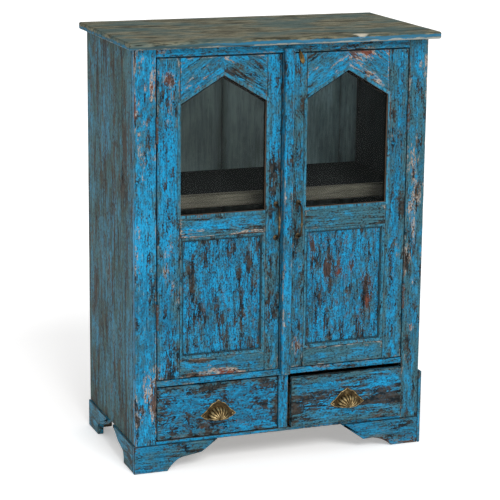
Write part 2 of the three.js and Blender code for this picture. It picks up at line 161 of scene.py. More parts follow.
def blue_paint(name, grain, bright=(26, 142, 190), dull=(28, 98, 130), teal=(58, 96, 104), dulled=0.5,
               blotch=0.58, draw=0.45, bare=0.66, cream=0.5, hair=0.6, speck=0.60, rust=0.55, patch=20.0,
               size=1.0, pale=0.35, rub=1.0, grime=0.6, soak=1.0, shift=0.0, corner_y=None, apex_x=None,
               spots=()):
    """Worn sky-blue paint. bright, dull, teal: the paint at its best, thin, and under dirt, as 0 to 255;
    dulled: the share of dirty paint. blotch, bare, speck: the noise level above which dark stains, bare
    wood and dark specks show; draw, soak: how far the stains are drawn out along the grain and how dark
    they are. cream: how much old primer rims the bare wood; rust: where that wood turns red; patch: its
    blotches to the metre. hair, pale: strength of the dark and the light lines. rub, grime: wear on the
    corners and dirt along the borders. size: scale of all the marks. corner_y: depth of a brighter band
    by the front. apex_x: the middle of a pointed arch whose slopes the marks follow. spots: places
    knocked or scraped bare, each x, z, width, how many times taller than wide, and how deep."""
    hair_line, chalk, primer = linear(14, 42, 54), linear(120, 176, 192), linear(170, 156, 144)
    dark_grain, light_grain, red_grain = linear(46, 34, 28), linear(92, 70, 58), linear(120, 60, 40)
    black_soot, brown_soot = linear(16, 20, 21), linear(62, 50, 40)
    rubbed_pale, joint_dirt_and_shade = linear(112, 140, 146), linear(20, 24, 24)
    f = Finish(name)
    if apex_x is not None:
        # The place is turned with each slope, and the right half reads another part of the pattern.
        slope = math.radians(32)
        run, rise = math.cos(slope), math.sin(slope)
        x, y, z = f.axis(0), f.axis(1), f.axis(2)
        beside = x.math("ABSOLUTE", x - apex_x)
        right_side = x.math("GREATER_THAN", x, apex_x)
        turned_place = {"X": beside * run - z * rise, "Y": y + right_side, "Z": beside * rise + z * run}
        f.place = f.add("ShaderNodeCombineXYZ", {}, turned_place)
    edge = f.attribute("edge")
    border = f.attribute("border")
    tone = f.noise(7.0 / size, along(grain, 0.5), 4.0, 0.6, shift)
    mottle = f.noise(75.0 / size, along(grain, 0.5), 5.0, 0.72, shift + 3)
    fine = f.noise(230.0 / size, along(grain, 0.08), 3.0, 0.6, shift + 5)
    thin = f.noise(19.0 / size, along(grain, 0.35), 6.0, 0.68, shift + 7)
    patches = f.noise(patch / size, along(grain, 0.3), 8.0, 0.68, shift + 11)
    blots = f.noise(44.0 / size, along(grain, draw), 7.0, 0.72, shift + 15)
    specks = f.noise(300.0 / size, along(grain, 0.55), 2.0, 0.6, shift + 13)
    lines = f.noise(95.0 / size, along(grain, 0.05), 5.0, 0.68, shift + 17)

    # The coats of blue: sound or thin, washed with dirt, gritty, and with lighter hair lines.
    color = f.blend((tone * 0.4 + mottle * 0.6).step(0.42, 0.58), linear(*bright), linear(*dull))
    wash = thin * 0.55 + mottle * 0.3 + fine * 0.15 + border * grime * 0.16
    wash = wash.step(0.575 - dulled * 0.24, 0.74 - dulled * 0.24) * 0.92
    if corner_y is not None:
        by_front = (f.axis(1) + (thin - 0.5) * 0.10).step(corner_y + 0.06, corner_y + 0.015)
        wash = wash * (1 - by_front * 0.8)
    color = f.blend(wash, color, linear(*teal))
    grit = (fine * 0.45 + specks * 0.55).step(0.45, 0.60)
    color = f.blend(grit * hair, color, hair_line)
    light = fine.step(0.44, 0.28) * mottle.step(0.46, 0.60)
    color = f.blend(light * pale, color, chalk)

    # Where the paint is gone: wood, redder in places, with a rim of old primer round it.
    worn = patches + (fine - 0.5) * 0.22 + edge * rub * 0.09 + (specks - 0.5) * 0.16
    for spot_x, spot_z, width, tall, depth in spots:
        away = f.distance((spot_x, 0, spot_z), (1, 0, 1 / tall))
        away = away + (thin * 2 + mottle * 2 + fine - 2.5) * width
        worn = worn + away.step(width * 0.8, 0.0) * depth
    rim = worn.step(bare - 0.06, bare - 0.015) * mottle.step(0.44, 0.54)
    color = f.blend(rim * cream, color, primer)
    wood = f.blend(fine.step(0.40, 0.62), dark_grain, light_grain)
    wood = f.blend(tone.step(rust, rust + 0.06) * 0.75, wood, red_grain)
    gone = worn.step(bare, bare + 0.025)
    color = f.blend(gone * 0.95, color, wood)

    # Dark stains, cracks and dots over all, then the rubbed corners, and dirt with painted shade darkening
    # every arris where pieces meet.
    soiled = blots * 0.72 + thin * 0.28 + (fine - 0.5) * 0.2 + (specks - 0.5) * 0.2 + border * grime * 0.03
    stain = soiled.step(blotch - 0.01, blotch + 0.045) * (mottle.step(0.66, 0.40) * 0.16 + 0.84) * soak
    crack = lines.step(0.60, 0.65) * hair
    dots = specks.step(speck, speck + 0.05) * mottle.step(0.42, 0.52)
    dark = (stain + crack + dots).limit()
    soot = f.blend(mottle.step(0.40, 0.62), black_soot, brown_soot)
    color = f.blend(dark * 0.97, color, soot)
    rubbed = edge.step(0.45, 0.9) * mottle.step(0.48, 0.58)
    color = f.blend(rubbed * rub * 0.5, color, rubbed_pale)
    # Dirt and painted shade: the arrises, and the inner edges of planted mouldings, are darkened as if shade
    # lay in the joints.
    color = f.blend(edge.step(0.84, 1.0) * 0.75, color, joint_dirt_and_shade)
    film = (1 - gone) * 0.6 + fine * 0.35 - dark * 0.5
    return f.finish(color, gone * 0.22 + wash * 0.12 + 0.50, film, 0.0008, Specular_IOR_Level=0.09)


def old_wood(name, grain, light, dark, dirt=(22, 22, 20), soil=0.5, shift=0.0):
    """Bare wood gone grey-brown with age. soil: how much of it is dirty."""
    f = Finish(name)
    fine = f.noise(190.0, along(grain, 0.05), 4.0, 0.62, shift)
    cloud = f.noise(9.0, along(grain, 0.6), 6.0, 0.66, shift + 4)
    color = f.blend((fine * 0.4 + cloud * 0.6).step(0.36, 0.62), linear(*dark), linear(*light))
    color = f.blend(cloud.step(0.64 - soil * 0.2, 0.78 - soil * 0.2) * 0.6, color, linear(*dirt))
    color = f.blend(f.attribute("edge") * cloud.step(0.30, 0.60) * 0.8, color, linear(*dirt))
    pores = f.noise(520.0, along(grain, 0.06), 2.0, 0.5, shift + 8).step(0.60, 0.70)
    color = f.blend(pores * 0.5, color, linear(*dirt))
    return f.finish(color, cloud * 0.2 + 0.62, fine - pores * 0.5, 0.0004, Specular_IOR_Level=0.1)


def ripple(points, wavelength, seed):
    """A smooth random field from 0 to 1 over points."""
    rng = np.random.default_rng(seed)
    waves = rng.normal(size=(7, 3)) * (2 * math.pi / wavelength) * rng.uniform(0.5, 1.6, (7, 1))
    total = np.sin(points @ waves.T + rng.uniform(0, 2 * math.pi, 7)).sum(axis=1)
    return 0.5 + 0.5 * np.tanh(total / 2.6)


def solid(name, points, faces, edge, *finishes, border=None, choose=None):
    """A mesh object at the origin. edge is 1 on a piece's corners, border fades over the last 25 mm of a
    face; choose gives the number of the finish for a face from its normal."""
    mesh = bpy.data.meshes.new(name)
    mesh.from_pydata([tuple(p) for p in points], [], [tuple(f) for f in faces])
    border = np.zeros(len(points)) if border is None else border
    for key, values in (("edge", edge), ("border", border)):
        mesh.attributes.new(key, "FLOAT", "POINT").data.foreach_set("value", np.asarray(values, np.float32))
    for finish in finishes:
        mesh.materials.append(finish)
    mesh.polygons.foreach_set("use_smooth", np.ones(len(mesh.polygons), bool))
    if choose:
        for polygon in mesh.polygons:
            polygon.material_index = choose(polygon.normal)
    mesh.update()
    piece = bpy.data.objects.new(name, mesh)
    scene.collection.objects.link(piece)
    return piece


def board(name, low, high, *finishes, radius=0.002, worn=0.006, step=0.012, dents=0.6, choose=None,
          seed=1):
    """A plank with rounded, slightly dented edges that fills the box from low to high. worn: the width of
    the rubbed strip along its edges."""
    halfway_round, border_width, warp = 0.586, 0.025, 0.00025
    low, high = np.array(low, float), np.array(high, float)
    centre, half = (low + high) / 2, (high - low) / 2
    radius = min(radius, 0.48 * half.min())
    stops = []
    for h in half:
        inner = h - radius
        count = max(1, round(2 * (h - worn) / step)) if h > worn else 1
        between = np.linspace(-(h - worn), h - worn, count + 1) if h > worn else np.zeros(1)
        ends = np.array([h, h - halfway_round * radius, inner])
        stops.append(np.unique(np.round(np.concatenate([-ends, ends, between[np.abs(between) < inner]]), 7)))
    points, faces = [], []
    for axis in range(3):
        u, v = (axis + 1) % 3, (axis + 2) % 3
        for sign in (-1, 1):
            grid_u, grid_v = np.meshgrid(stops[u], stops[v], indexing="ij")
            flat = np.zeros((grid_u.size, 3))
            flat[:, u], flat[:, v], flat[:, axis] = grid_u.ravel(), grid_v.ravel(), sign * half[axis]
            index = np.arange(grid_u.size).reshape(grid_u.shape) + sum(len(p) for p in points)
            quads = np.stack([index[:-1, :-1], index[1:, :-1], index[1:, 1:], index[:-1, 1:]], -1)
            faces.append(quads.reshape(-1, 4)[:, ::sign])
            points.append(flat)
    points, faces = np.concatenate(points), np.concatenate(faces)
    _, first, inverse = np.unique(np.round(points * 1e6).astype(np.int64), axis=0, return_index=True,
                                  return_inverse=True)
    points, faces = points[first], inverse.ravel()[faces]
    room = np.sort(half - np.abs(points), axis=1)
    edge = np.clip(1 - room[:, 1] / worn, 0, 1)
    border = np.clip(1 - room[:, 1] / border_width, 0, 1)
    core = np.clip(points, -(half - radius), half - radius)
    out = points - core
    out /= np.linalg.norm(out, axis=1)[:, None]
    corner = np.clip(1 - room[:, 1] / radius, 0, 1)
    worn_away = dents * corner * ripple(points + centre, 0.03, seed) ** 2
    points = core + out * (radius * (1 - worn_away))[:, None]
    points -= out * (warp * ripple(points + centre, 0.16, seed + 1))[:, None]
    return solid(name, points + centre, faces, edge, *finishes, border=border, choose=choose)


def fit(piece, body, slot, *nodes):
    """Rides a piece on its body and hides the CAD nodes that it stands for."""
    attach(piece, body)
    if nodes:
        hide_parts(*nodes)
    return piece


side_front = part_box("front_stile_left")[1].y
side_paint = blue_paint("side_board_paint", "z", bright=(34, 120, 150), dull=(44, 98, 108),
                        teal=(58, 80, 72), dulled=0.64, blotch=0.525, draw=0.16, bare=0.63, cream=0.1,
                        hair=0.8, rust=0.6, patch=22, size=1.5, pale=0.2, corner_y=side_front)
dark_wood = old_wood("inside_wood", "z", (52, 60, 62), (34, 40, 42), shift=9)
for side, inward in (("left", 1), ("right", -1)):
    node = f"side_panel_{side}"
    fit(board(node + "_plank", *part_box(node), side_paint, dark_wood, radius=0.0015, step=0.02,
              choose=lambda normal: int(normal.x * inward > 0.7), seed=3 + inward),
        "case", "blue_paint", node)

# ---------------------------------------------------------------------------------------------------------
# Bottom board, cabinet floor and the partition between the drawers. Plain planks nailed between the sides.
# The bottom board's front edge shows under the drawers and was painted with the frame.

rail_paint = blue_paint("rail_paint", "x", dulled=0.42, blotch=0.555, draw=0.15, grime=0.2, shift=21)
flat_wood = old_wood("floor_wood", "x", (88, 80, 66), (54, 48, 40), shift=14)
fit(board("bottom_plank", *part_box("bottom_board"), rail_paint, flat_wood,
          choose=lambda normal: int(normal.y > -0.7), step=0.02), "case", "blue_paint", "bottom_board")
for node in ("cabinet_floor", "drawer_partition"):
    fit(board(node + "_plank", *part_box(node), flat_wood, step=0.03), "case", "bare_wood", node)

# ---------------------------------------------------------------------------------------------------------
# Front frame: two wide stiles from foot to top, a top rail, a thin middle rail and the post between the
# drawers, 22 mm thick, tenoned and painted on the front. Years of hands have chipped the long edges.

stile_paint = blue_paint("stile_paint", "z", bright=(32, 148, 196), pale=0.8, dulled=0.35, blotch=0.56,
                         draw=0.25, bare=0.635, cream=0.9, hair=0.4, grime=0.3, shift=31)
# Two scraped places on the right stile: x, z, width, how many times taller than wide, and how deep.
stile_scrapes = [(0.390, 0.353, 0.030, 1.4, 0.14), (0.400, 0.620, 0.020, 4.0, 0.1)]
dull_stile_paint = blue_paint("right_stile_paint", "z", dulled=0.58, blotch=0.545, draw=0.25, bare=0.63,
                              cream=0.9, hair=0.5, grime=0.6, shift=37, spots=stile_scrapes)


def back_of_frame(normal):
    """Picks the second finish, bare wood, for a face that looks backwards."""
    return int(normal.y > 0.7)


for node, finish in (("front_stile_left", stile_paint), ("front_stile_right", dull_stile_paint),
                     ("top_rail", rail_paint), ("mid_rail", rail_paint), ("drawer_post", stile_paint)):
    fit(board(node + "_bar", *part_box(node), finish, dark_wood, step=0.01, choose=back_of_frame,
              seed=len(node)), "case", "blue_paint", node)

# ---------------------------------------------------------------------------------------------------------
# Back: five upright planks, 12 mm thick, nailed into the sides, floor and shelf. They have shrunk a little
# apart, and a thin dark strip lies in a groove behind each joint. Pale limewash inside, bare wood outside.

mm = 0.001
back_low, back_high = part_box("back_panel_left")[0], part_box("back_panel_right")[1]
joints = [back_low.x, -0.221, -0.026, 0.164, 0.351, back_high.x]
outer_wood = old_wood("outer_back_wood", "z", (124, 112, 94), (82, 72, 60), dirt=(44, 38, 32), shift=7)
gap = 0.3 * mm   # the air left at each side of a joint
shade = 0.74     # how dark a plank's dark grain is beside its light grain
for number, (left, right) in enumerate(zip(joints, joints[1:]), start=1):
    planks = {2: ["back_panel_left"], 4: ["back_panel_right"]}.get(number, [])
    light = (164, 190, 188) if number < 4 else (184, 224, 228)
    inner_wood = old_wood(f"inner_back_wood_{number}", "z", light, [shade * c for c in light],
                          dirt=(46, 54, 52), soil=0.25, shift=number * 5.3)
    fit(board(f"back_plank_{number}", (left + gap, back_low.y, back_low.z),
              (right - gap, back_high.y, back_high.z), inner_wood, outer_wood, radius=0.0035,
              worn=0.028, step=0.03, choose=lambda normal: int(normal.y > -0.3), seed=number),
        "case", "bare_wood", *planks)

for number, x in enumerate(joints[1:-1], start=1):
    low = (x - 5 * mm, back_low.y + 4.5 * mm, back_low.z + 1 * mm)
    high = (x + 5 * mm, back_low.y + 7.5 * mm, back_high.z - 1 * mm)
    fit(board(f"back_tongue_{number}", low, high, dark_wood, radius=0.0005, step=0.1), "case", "bare_wood")

# ---------------------------------------------------------------------------------------------------------
# Display shelf behind the glass: a plank with a deeper lip nailed along its front edge, resting on a cleat
# at each side. Its top has darkened, the lip is lighter where things rubbed it.

shelf_low, shelf_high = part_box("display_shelf")
shelf_thickness, lip_thickness, cleat_width, cleat_height = 20 * mm, 20 * mm, 18 * mm, 22 * mm
lip_back = shelf_low.y + lip_thickness
shelf_underside = shelf_high.z - shelf_thickness
shelf_wood = old_wood("shelf_wood", "x", (30, 33, 33), (20, 23, 24), soil=0.3, shift=41)
lip_wood = old_wood("shelf_lip_wood", "x", (124, 122, 108), (84, 84, 74), soil=0.2, shift=44)
fit(board("shelf_plank", (shelf_low.x, lip_back, shelf_underside), shelf_high, shelf_wood, step=0.03),
    "case", "bare_wood")
fit(board("shelf_lip", shelf_low, (shelf_high.x, lip_back, shelf_high.z), lip_wood, step=0.015, dents=0.9),
    "case", "bare_wood", "display_shelf")
for side, x in (("left", shelf_low.x), ("right", shelf_high.x - cleat_width)):
    low = (x, lip_back + 5 * mm, shelf_underside - cleat_height)
    high = (x + cleat_width, shelf_high.y, shelf_underside - 0.5 * mm)
    fit(board(f"shelf_cleat_{side}", low, high, dark_wood, step=0.03), "case", "bare_wood")

# ---------------------------------------------------------------------------------------------------------
# Centre mullion: a round-nosed strip standing 20 mm proud between the doors, nailed over the top and middle
# rails, with its top end rounded over. Behind it a plain filler closes the gap between the doors.

mullion_low, mullion_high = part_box("center_mullion")
mullion_paint = blue_paint("mullion_paint", "z", dulled=0.55, blotch=0.55, draw=0.2, bare=0.64,
                           cream=0.8, grime=0, shift=51)
front_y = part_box("front_stile_left")[0].y
nose = 8.5 * mm
fit(board("mullion_strip", mullion_low, (mullion_high.x, front_y - gap, mullion_high.z), mullion_paint,
          radius=nose, worn=nose, step=0.008, dents=0.12), "case", "blue_paint", "center_mullion")
fit(board("mullion_filler", (mullion_low.x, front_y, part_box("mid_rail")[1].z + gap),
          (mullion_high.x, mullion_high.y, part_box("top_rail")[0].z - gap), stile_paint, radius=0.001),
    "case", "blue_paint")

# ---------------------------------------------------------------------------------------------------------
# Bracket feet: boards sawn to a cove, glued over the corners of the case and standing 4 or 5 mm proud. The
# right front one has a taller outer board. Square glue blocks stiffen them from behind.


def spaced(outline, step):
    """The outline with no two points further apart than step."""
    points = []
    for a, b in zip(outline, outline[1:] + outline[:1]):
        a, b = np.array(a, float), np.array(b, float)
        count = max(1, math.ceil(np.linalg.norm(b - a) / step))
        points += [a + (b - a) * i / count for i in range(count)]
    return np.array(points)


def drawn_in(points, inset):
    """The closed outline moved inwards by inset, mitred at its corners."""
    ahead = np.roll(points, -1, axis=0) - points
    ahead /= np.linalg.norm(ahead, axis=1)[:, None]
    inward = np.stack([-ahead[:, 1], ahead[:, 0]], -1)
    before = np.roll(inward, 1, axis=0)
    mitre = (inward + before) / (1 + (inward * before).sum(axis=1))[:, None]
    return points + mitre * inset


def faced_out(piece, merge=False):
    """The piece with its faces turned outwards, and its doubles merged before that where asked."""
    shell = bmesh.new()
    shell.from_mesh(piece.data)
    if merge:
        bmesh.ops.remove_doubles(shell, verts=shell.verts, dist=1e-5)
    bmesh.ops.recalc_face_normals(shell, faces=shell.faces)
    shell.to_mesh(piece.data)
    shell.free()
    return piece


def sawn(name, outline, rings, finish, flat="y", step=0.008, closed=False, seed=1, dents=0.0):
    """A piece with a sawn outline, given anticlockwise. rings are (inset, depth, edge) from its front to
    its back; flat is the axis that the depth runs on. A closed one has no caps: its rings join up."""
    points = spaced([tuple(p) for p in outline], step)
    count = len(points)
    loops, edge = [], []
    for inset, depth, wear in rings:
        a, b = drawn_in(points, inset).T
        fill = np.full(count, depth)
        loops.append(np.stack({"y": (a, fill, b), "x": (fill, a, b)}[flat], -1))
        edge += [wear] * count
    if dents:
        middle = np.mean(np.concatenate(loops), axis=0)
        for loop, (_, _, wear) in zip(loops, rings):
            loop -= (loop - middle) * (wear * dents * ripple(loop, 0.03, seed) ** 2)[:, None]
    following = np.roll(np.arange(count), -1)
    faces = []
    for k in range(len(rings) if closed else len(rings) - 1):
        a, b = k * count, (k + 1) % len(rings) * count
        faces += [(a + i, a + j, b + j, b + i) for i, j in enumerate(following)]
    if not closed:
        faces.append(tuple(range(count)))
        faces.append(tuple(range((len(rings) - 1) * count, len(rings) * count)))
    return faced_out(solid(name, np.concatenate(loops), faces, edge, finish))


def eased(front, back, radius):
    """Rings for a board with rounded edges, from its front depth to its back depth. A flat strip, the
    land, lies inside each rounding so that the wear on the edge stays on the edge."""
    land = 4 * mm
    way = 1 if back > front else -1
    curve = [(radius * (1 - math.sin(a)), radius * (1 - math.cos(a))) for a in np.radians([0, 30, 60, 90])]
    fore = [(inset, front + way * depth, 1.0 if 0 < depth < radius else 0.7) for inset, depth in curve]
    aft = [(inset, back - way * depth, 0.6) for inset, depth in curve[::-1]]
    waist = (0.0, front + way * (radius + land * 0.8), 0.0)
    return [(radius + land, front, 0.0), *fore, waist, *aft, (radius + land, back, 0.0)]


def bracket_outline(toe, knee, cove, cusp, tip):
    """In millimetres, from the outer end of the foot, along the sawn edge to the tip under the case, then
    back. The hollow runs from the toe to the cove and bends by the knee."""
    toe, knee, cove = np.array([toe, 0]), np.array(knee), np.array(cove)
    hollow = [tuple((1 - t) ** 2 * toe + 2 * t * (1 - t) * knee + t ** 2 * cove)
              for t in np.linspace(0, 1, 9)]
    return [(0, 0), *hollow, cusp, (tip, foot_top / mm), (0, foot_top / mm)]


foot_paint = blue_paint("foot_paint", "x", bright=(30, 124, 164), dulled=0.62, blotch=0.53, bare=0.65,
                        cream=0.2, shift=61)
side_foot_paint = blue_paint("side_foot_paint", "y", bright=(38, 124, 156), dull=(46, 102, 118),
                             teal=(62, 82, 80), dulled=0.55, blotch=0.535, bare=0.65, cream=0.2, size=1.3,
                             soak=0.85, shift=63)
foot_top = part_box("bracket_front_left")[1].z
left_edge, right_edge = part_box("side_panel_left")[0].x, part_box("side_panel_right")[1].x
case_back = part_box("side_panel_left")[1].y
proud_side, proud_front = 5 * mm, 4 * mm


def placed(outline, start, way):
    """An outline in millimetres from a corner of the case, set off from start to the left or right."""
    points = [(start + way * a * mm, b * mm) for a, b in outline]
    return points if way > 0 else points[::-1]


front_left = bracket_outline(toe=97, knee=(119, 32), cove=(141, 36), cusp=(198, 45), tip=244)
front_right = bracket_outline(toe=82, knee=(106, 22), cove=(138, 28), cusp=(170, 27), tip=240)
side_fore = bracket_outline(toe=105, knee=(101, 34), cove=(122, 37), cusp=(160, 47), tip=214)
side_rear = bracket_outline(toe=95, knee=(91, 34), cove=(112, 37), cusp=(150, 47), tip=202)
for side, outline, start, way in (("left", front_left, left_edge - proud_side, 1),
                                  ("right", front_right, right_edge, -1)):
    node = f"bracket_front_{side}"
    low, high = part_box(node)
    fit(sawn(node + "_board", placed(outline, start, way), eased(low.y, high.y, 0.002), foot_paint,
             seed=way + 4, dents=0.012), "case", "blue_paint", node)
for side in ("left", "right"):
    for end, outline in (("front", side_fore), ("rear", side_rear)):
        node = f"bracket_side_{side}_{end}"
        low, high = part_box(node)
        depths = (low.x, high.x) if side == "left" else (high.x, low.x)
        if end == "rear":
            points = placed(outline, case_back, -1)
        else:
            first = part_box("bracket_side_left_front")[0].y
            points = [(max(a, first), b) for a, b in placed(outline, front_y - proud_front, 1)]
        if (side, end) == ("right", "front"):
            depths = (right_edge, right_edge - 13 * mm)
        fit(sawn(node + "_board", points, eased(*depths, 0.002), side_foot_paint, flat="x", seed=len(node)),
            "case", "blue_paint", node)

tall_low, tall_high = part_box("bracket_side_right_front")
tall_width, tall_heel, corner = 92, 42, 40 * mm
tall_back = front_y + tall_width * mm
sawn_edge = [(a - proud_front / mm, b) for a, b in side_fore[1:-2]]
rounded = [(tall_back - corner + corner * math.cos(a), tall_high.z - corner + corner * math.sin(a))
           for a in np.radians(np.linspace(0, 90, 9))]
tall = [(tall_low.y, 0.0), *[(front_y + a * mm, b * mm) for a, b in sawn_edge if a < tall_width],
        (tall_back, tall_heel * mm), *rounded, (tall_low.y, tall_high.z)]
tall_paint = blue_paint("tall_foot_paint", "z", dulled=0.6, blotch=0.55, bare=0.64, shift=67)
fit(sawn("bracket_right_outer_board", tall, eased(tall_high.x, right_edge + gap, 0.002), tall_paint,
         flat="x"), "case", "blue_paint")
block = 36 * mm
for side, x in (("left", left_edge + 14 * mm), ("right", right_edge - 14 * mm - block)):
    for end, y in (("front", front_y + 15 * mm), ("rear", case_back - 24 * mm - block)):
        fit(board(f"glue_block_{side}_{end}", (x, y, 6 * mm), (x + block, y + block, foot_top - 1 * mm),
                  flat_wood, radius=0.004, step=0.02), "case", "bare_wood")

# ---------------------------------------------------------------------------------------------------------
# Top: two boards glued edge to edge, overhanging all round, with rounded edges. The paint has almost worn
# off the flat and left waxed grey-olive wood. The edge is still blue, chipped to cream along its foot.

top_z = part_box("top_board_front")[1].z


def top_wood(name):
    """Streaky waxed wood with traces of blue. Below its upper corner the edge turns blue, then cream."""
    worn_to, painted_from, chipped_from = top_z - 0.006, top_z - 0.009, top_z - 0.0155
    scratch_place = (0.212, -0.226, top_z)
    f = Finish(name)
    edge = f.attribute("edge")
    fine = f.noise(130.0, along("x", 0.12), 4.0, 0.66)
    cloud = f.noise(11.0, along("x", 0.45), 5.0, 0.62, 3)
    traces = f.noise(34.0, along("x", 0.3), 8.0, 0.8, 6)
    lines = f.noise(60.0, along("x", 0.03), 7.0, 0.74, 9)
    grain = fine * 0.3 + traces * 0.3 + lines * 0.4
    color = f.blend(grain.step(0.44, 0.55), linear(40, 42, 34), linear(142, 138, 114))
    color = f.blend(cloud.step(0.44, 0.60) * 0.6, color, linear(60, 92, 95))
    color = f.blend(cloud.step(0.46, 0.34) * 0.5, color, linear(66, 62, 46))
    color = f.blend((traces * 0.6 + lines * 0.4).step(0.52, 0.57) * 0.5, color, linear(60, 84, 88))
    color = f.blend(edge.step(0.5, 0.9) * 0.4, color, linear(56, 60, 52))
    crack = (lines * 0.5 + fine * 0.5).step(0.55, 0.60)
    color = f.blend(crack * 0.85, color, linear(30, 32, 28))
    ragged = f.axis(2) + (traces - 0.5) * 0.02 - f.axis(0) * 0.006
    edge_blue = f.blend(lines.step(0.44, 0.56), linear(40, 112, 146), linear(52, 78, 84))
    color = f.blend(ragged.step(worn_to, painted_from) * 0.85, color, edge_blue)
    scratch = f.distance(scratch_place, (1, 2, 1)) + (traces - 0.5) * 0.03
    color = f.blend(scratch.step(0.027, 0.020) * 0.85, color, linear(196, 190, 172))
    chips = (ragged + (fine - 0.5) * 0.02).step(chipped_from, chipped_from - 0.0025)
    color = f.blend(chips * 0.7, color, linear(168, 164, 148))
    return f.finish(color, cloud * 0.2 + 0.6, fine * 0.6 - crack, 0.0006, Specular_IOR_Level=0.04)


waxed_top = top_wood("waxed_top")
seam_width, seam_depth, round_depth, lifted = 0.012, 0.0004, 0.0072, 0.9
for node in ("top_board_front", "top_board_rear"):
    low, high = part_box(node)
    piece = board(node + "_plank", low, high, waxed_top, radius=0.008, worn=0.011, step=0.012, dents=0.2,
                  seed=len(node))
    # The rounding is pulled back up along the glued seam, which shows only as a fine line.
    seam = high.y if node.endswith("front") else low.y
    for vertex in piece.data.vertices:
        near = 1 - min(1, abs(vertex.co.y - seam) / seam_width)
        if near > 0:
            up = 1 if vertex.co.z > (low.z + high.z) / 2 else -1
            flat_z = high.z if up > 0 else low.z
            if abs(vertex.co.z - flat_z) < round_depth:
                vertex.co.z += (flat_z - up * seam_depth - vertex.co.z) * near * lifted
    fit(piece, "case", "worn_top", node)

# ---------------------------------------------------------------------------------------------------------
# Door frames: stiles and rails 24 mm thick, tenoned at the corners. The top rail is sawn to a pointed arch,
# and was scraped along its slopes. A bevelled bead is planted round the opening and a thin lining inside it.
# The right door is a little greyer than the left.

arch_rise = 74 * mm


def opening_of(side, drop=0.0):
    """The outline of a door's glazed opening, anticlockwise, with its arch lowered by drop."""
    low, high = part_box(f"{side}_door_arched_rail")
    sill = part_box(f"{side}_door_lock_rail")[1].z
    springing, middle = low.z - drop, (low.x + high.x) / 2
    return [(low.x, sill), (high.x, sill), (high.x, springing), (middle, low.z + arch_rise - drop),
            (low.x, springing)]


def shaped(base, *steps):
    """The steps of a moulded or turned shape, each (inset or radius, depth from base, edge). The first two
    are in millimetres."""
    return [(across * mm, base + depth * mm, wear) for across, depth, wear in steps]


# Where things knocked against the doors: x, z, width, how many times taller than wide, and how deep.
scrapes = {
    "left": {"stile": [(-0.331, 1.096, 0.031, 1.5, 0.13), (-0.326, 0.546, 0.022, 4.5, 0.11),
                       (-0.326, 0.374, 0.024, 4.0, 0.11)],
             "panel": []},
    "right": {"stile": [(0.334, 0.386, 0.032, 1.5, 0.13), (0.334, 0.504, 0.030, 1.6, 0.13),
                        (0.040, 0.330, 0.026, 2.0, 0.13)],
              "panel": [(0.147, 0.524, 0.060, 1.4, 0.11), (0.248, 0.521, 0.055, 1.6, 0.11),
                        (0.165, 0.430, 0.035, 1.3, 0.12)]},
}
door_finishes = {}
for side, grey in (("left", 0.0), ("right", 0.14)):
    shift = 71 if side == "left" else 83
    door_finishes[side] = {
        "stile": blue_paint(f"{side}_door_stile_paint", "z", dulled=0.42 + grey, blotch=0.535, draw=0.28,
                            bare=0.65, cream=0.6, spots=scrapes[side]["stile"], shift=shift),
        "rail": blue_paint(f"{side}_door_rail_paint", "x", dulled=0.54 + grey * 1.4, blotch=0.555,
                           draw=0.15, bare=0.615, cream=0.9, rust=0.5, shift=shift + 2),
        "panel": blue_paint(f"{side}_door_panel_paint", "z", dulled=0.5 + grey * 0.2, blotch=0.52,
                            draw=0.22, bare=0.64 - grey * 0.3, cream=0.1, hair=0.65, speck=0.57, size=0.7,
                            spots=scrapes[side]["panel"], shift=shift + 4),
        "bead": blue_paint(f"{side}_door_bead_paint", "z", bright=(50, 132, 164), dull=(48, 104, 124),
                           dulled=0.5, blotch=0.56, bare=0.66, cream=0.2, rub=0.7, shift=shift + 6),
    }
lining_wood = old_wood("opening_lining_wood", "z", (146, 122, 104), (92, 76, 62), shift=93)
for side in ("left", "right"):
    paints = door_finishes[side]
    for part in ("hinge_stile", "meeting_stile", "lock_rail", "bottom_rail"):
        node = f"{side}_door_{part}"
        finish = paints["stile" if "stile" in part else "rail"]
        fit(board(node + "_bar", *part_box(node), finish, dark_wood, step=0.01, radius=0.0018,
                  choose=back_of_frame, seed=len(node)), f"{side}_door", "blue_paint", node)
    node = f"{side}_door_arched_rail"
    low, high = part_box(node)
    middle = (low.x + high.x) / 2
    outline = [(low.x, high.z), (low.x, low.z), (middle, low.z + arch_rise), (high.x, low.z),
               (high.x, high.z)]
    arch_paint = blue_paint(f"{side}_arch_paint", "x", dulled=0.54, blotch=0.565, draw=0.22, bare=0.61,
                            cream=0.9, rust=0.5, apex_x=middle, shift=len(side) * 19.0)
    fit(sawn(node + "_board", outline, eased(low.y, high.y, 0.0018), arch_paint, seed=len(node)),
        f"{side}_door", "blue_paint", node)
    bead = shaped(low.y, (1.2, 4, 1.0), (1.2, -0.6, 0.9), (0.2, -1.6, 0.7), (-4, -1.9, 0.4),
                  (-7, -1.2, 0.8), (-8, 0.3, 1.0), (-1, 1, 1.0))
    fit(sawn(f"{side}_door_opening_bead", opening_of(side), bead, paints["bead"], closed=True),
        f"{side}_door", "blue_paint")
    lining = shaped(low.y, (0.2, 3.5, 0.2), (1.4, 3.5, 0.3), (1.4, 9.9, 0.1), (0.2, 9.9, 0.0))
    fit(sawn(f"{side}_door_opening_lining", opening_of(side), lining, lining_wood, closed=True),
        f"{side}_door", "bare_wood")

# ---------------------------------------------------------------------------------------------------------
# Lower door panels: one thin board in each door, loose in the grooves of its frame so that it can swell and
# shrink. A mitred moulding is pinned round it on the front, and was painted together with the frame.

